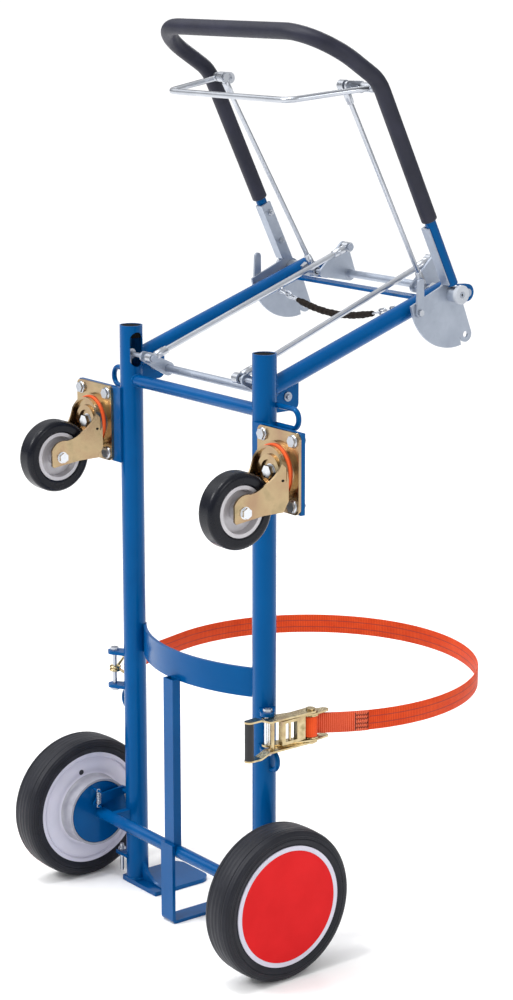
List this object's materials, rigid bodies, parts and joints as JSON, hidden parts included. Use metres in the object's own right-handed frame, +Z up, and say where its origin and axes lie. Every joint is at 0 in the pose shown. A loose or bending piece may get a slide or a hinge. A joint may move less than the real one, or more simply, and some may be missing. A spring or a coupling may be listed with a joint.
{
  "type": "drum trolley",
  "caption": "Two-wheeled trolley for a steel drum with a folding handle, dead-man brake bar and linkage, swivel castors, curved cradle, toe plates and ratchet strap.",
  "frame": {"origin": "on the floor midway between the axes of the two uprights, on the underside of the centre heel", "axes": "+X to the right, +Y forward to the load, +Z up"},
  "size_m": [0.637, 0.7297, 1.5364],
  "materials": {
    "blue_paint": "gloss powder coat",
    "bright_zinc": "bright plated",
    "grey_zinc": "satin zinc plate",
    "rim_metal": "cast rim, turned bright",
    "yellow_zinc": "yellow passivated zinc plate",
    "grey_iron": "as cast",
    "tyre_rubber": "matte black rubber",
    "white_plastic": "moulded",
    "red_plastic": "moulded",
    "orange_plastic": "moulded",
    "black_plastic": "moulded",
    "grip_foam": "matte closed-cell foam",
    "webbing": "woven polyester webbing",
    "sleeve_fabric": "woven sleeve"
  },
  "bodies": {
    "frame": {"upright_left": "blue_paint", "upright_right": "blue_paint", "tube_plugs": "black_plastic", "feet": "blue_paint", "cross_tube": "blue_paint", "cradle_band": "blue_paint", "centre_strut": "blue_paint", "axle": "blue_paint", "arm_left": "blue_paint", "arm_right": "blue_paint", "arm_cross_bar": "blue_paint", "pivot_pins": "bright_zinc", "pivot_caps": "white_plastic", "brake_plates": "blue_paint", "brake_shoes": "grey_iron", "brake_springs": "bright_zinc", "castor_mounts": "blue_paint", "castor_plates": "yellow_zinc", "castor_seals": "orange_plastic", "strap_ears": "blue_paint", "lashing_eyes": "blue_paint", "frame_bolts": "bright_zinc", "chain_links": "bright_zinc", "chain_sleeve": "sleeve_fabric", "strap": "webbing", "strap_hook": "yellow_zinc", "ratchet_frame": "yellow_zinc"},
    "handle": {"handle_tube": "blue_paint", "foam_grip": "grip_foam", "handle_bolts": "bright_zinc", "sector_left": "grey_zinc", "sector_right": "grey_zinc"},
    "brake_bar": {"brake_bar": "bright_zinc"},
    "handle_rods": {"handle_rod_left": "bright_zinc", "handle_rod_right": "bright_zinc"},
    "bellcrank": {"upper_bellcrank": "grey_zinc"},
    "long_rods": {"long_rod_left": "bright_zinc", "long_rod_right": "bright_zinc"},
    "lower_crank": {"lower_crank": "grey_zinc"},
    "brake_rods": {"brake_rods": "bright_zinc"},
    "ratchet_lever": {"ratchet_lever": "yellow_zinc", "ratchet_grip": "black_plastic"},
    "ratchet_pawl": {"ratchet_pawl": "yellow_zinc"},
    "ratchet_spindle": {"ratchet_spindle": "yellow_zinc"},
    "wheel_left": {"tyre_left": "tyre_rubber", "hub_left": "white_plastic", "cap_left": "red_plastic"},
    "castor_fork_left": {"castor_fork_left": "yellow_zinc"},
    "castor_wheel_left": {"castor_tyre_left": "tyre_rubber", "castor_rim_left": "rim_metal"},
    "lock_lever_left": {"lock_lever_left": "grey_zinc"},
    "brake_lever_left": {"brake_lever_left": "blue_paint"},
    "wheel_right": {"tyre_right": "tyre_rubber", "hub_right": "white_plastic", "cap_right": "red_plastic"},
    "castor_fork_right": {"castor_fork_right": "yellow_zinc"},
    "castor_wheel_right": {"castor_tyre_right": "tyre_rubber", "castor_rim_right": "rim_metal"},
    "lock_lever_right": {"lock_lever_right": "grey_zinc"},
    "brake_lever_right": {"brake_lever_right": "blue_paint"}
  },
  "joints": [
    {"name": "handle_fold", "type": "hinge", "parent": "frame", "child": "handle", "pos_m": [0, 0.375, 1.08712], "axis": [-1, 0, 0], "range_deg": [0, 95]},
    {"name": "brake_squeeze", "type": "hinge", "parent": "handle", "child": "brake_bar", "pos_m": [0, 0.20502, 1.43257], "axis": [-1, 0, 0], "range_deg": [0, 25], "stiffness_Nm_per_rad": 2, "springref_deg": -11.46},
    {"name": "handle_rod_swing", "type": "hinge", "parent": "brake_bar", "child": "handle_rods", "pos_m": [0, 0.18069, 1.43545], "axis": [-1, 0, 0], "range_deg": [-25.27, 0]},
    {"name": "bellcrank_turn", "type": "hinge", "parent": "frame", "child": "bellcrank", "pos_m": [0, 0.434, 1.08012], "axis": [-1, 0, 0], "range_deg": [0, 9.71]},
    {"name": "long_rod_swing", "type": "hinge", "parent": "bellcrank", "child": "long_rods", "pos_m": [0, 0.42, 1.13012], "axis": [-1, 0, 0], "range_deg": [-8.76, 0]},
    {"name": "lower_crank_turn", "type": "hinge", "parent": "frame", "child": "lower_crank", "pos_m": [0, 0.045, 0.945], "axis": [-1, 0, 0], "range_deg": [0, 11.25]},
    {"name": "brake_rod_swing", "type": "hinge", "parent": "lower_crank", "child": "brake_rods", "pos_m": [0, -0.004, 0.971], "axis": [-1, 0, 0], "range_deg": [-10.71, 0]},
    {"name": "brake_lever_left_turn", "type": "hinge", "parent": "frame", "child": "brake_lever_left", "pos_m": [-0.225, -0.05101, 0.156], "axis": [1, 0, 0], "range_deg": [0, 11.38]},
    {"name": "wheel_left_roll", "type": "hinge", "parent": "frame", "child": "wheel_left", "pos_m": [-0.288, -0.05101, 0.13], "axis": [1, 0, 0], "continuous": true},
    {"name": "castor_left_swivel", "type": "hinge", "parent": "frame", "child": "castor_fork_left", "pos_m": [-0.26, -0.041, 0.846], "axis": [0, 1, 0], "continuous": true},
    {"name": "castor_left_roll", "type": "hinge", "parent": "castor_fork_left", "child": "castor_wheel_left", "pos_m": [-0.26, -0.1145, 0.793], "axis": [1, 0, 0], "continuous": true},
    {"name": "lock_lever_left_pull", "type": "hinge", "parent": "handle", "child": "lock_lever_left", "pos_m": [-0.221, 0.3003, 1.0614], "axis": [1, 0, 0], "range_deg": [0, 35], "stiffness_Nm_per_rad": 0.3, "springref_deg": -8.59},
    {"name": "brake_lever_right_turn", "type": "hinge", "parent": "frame", "child": "brake_lever_right", "pos_m": [0.225, -0.05101, 0.156], "axis": [1, 0, 0], "range_deg": [0, 11.38]},
    {"name": "wheel_right_roll", "type": "hinge", "parent": "frame", "child": "wheel_right", "pos_m": [0.288, -0.05101, 0.13], "axis": [1, 0, 0], "continuous": true},
    {"name": "castor_right_swivel", "type": "hinge", "parent": "frame", "child": "castor_fork_right", "pos_m": [0.26, -0.041, 0.846], "axis": [0, 1, 0], "continuous": true},
    {"name": "castor_right_roll", "type": "hinge", "parent": "castor_fork_right", "child": "castor_wheel_right", "pos_m": [0.26, -0.1145, 0.793], "axis": [1, 0, 0], "continuous": true},
    {"name": "lock_lever_right_pull", "type": "hinge", "parent": "handle", "child": "lock_lever_right", "pos_m": [0.221, 0.3003, 1.0614], "axis": [1, 0, 0], "range_deg": [0, 35], "stiffness_Nm_per_rad": 0.3, "springref_deg": -8.59},
    {"name": "ratchet_lever_swing", "type": "hinge", "parent": "frame", "child": "ratchet_lever", "pos_m": [0.23896, 0.05613, 0.398], "axis": [0, 0, 1], "range_deg": [0, 75]},
    {"name": "ratchet_spindle_turn", "type": "hinge", "parent": "frame", "child": "ratchet_spindle", "pos_m": [0.23896, 0.05613, 0.398], "axis": [0, 0, 1], "continuous": true},
    {"name": "ratchet_pawl_slide", "type": "slide", "parent": "ratchet_lever", "child": "ratchet_pawl", "axis": [0.0349, -0.9994, 0], "range_m": [0, 0.005], "stiffness_N_per_m": 300, "springref_m": -0.002}
  ],
  "couplings": [
    {"joint": "handle_rod_swing", "follows": "brake_squeeze", "ratio": -0.99099},
    {"joint": "bellcrank_turn", "follows": "brake_squeeze", "ratio": 0.3685},
    {"joint": "long_rod_swing", "follows": "brake_squeeze", "ratio": -0.33045},
    {"joint": "lower_crank_turn", "follows": "brake_squeeze", "ratio": 0.42993},
    {"joint": "brake_rod_swing", "follows": "brake_squeeze", "ratio": -0.40841},
    {"joint": "brake_lever_left_turn", "follows": "brake_squeeze", "ratio": 0.43527},
    {"joint": "brake_lever_right_turn", "follows": "brake_squeeze", "ratio": 0.43527}
  ]
}
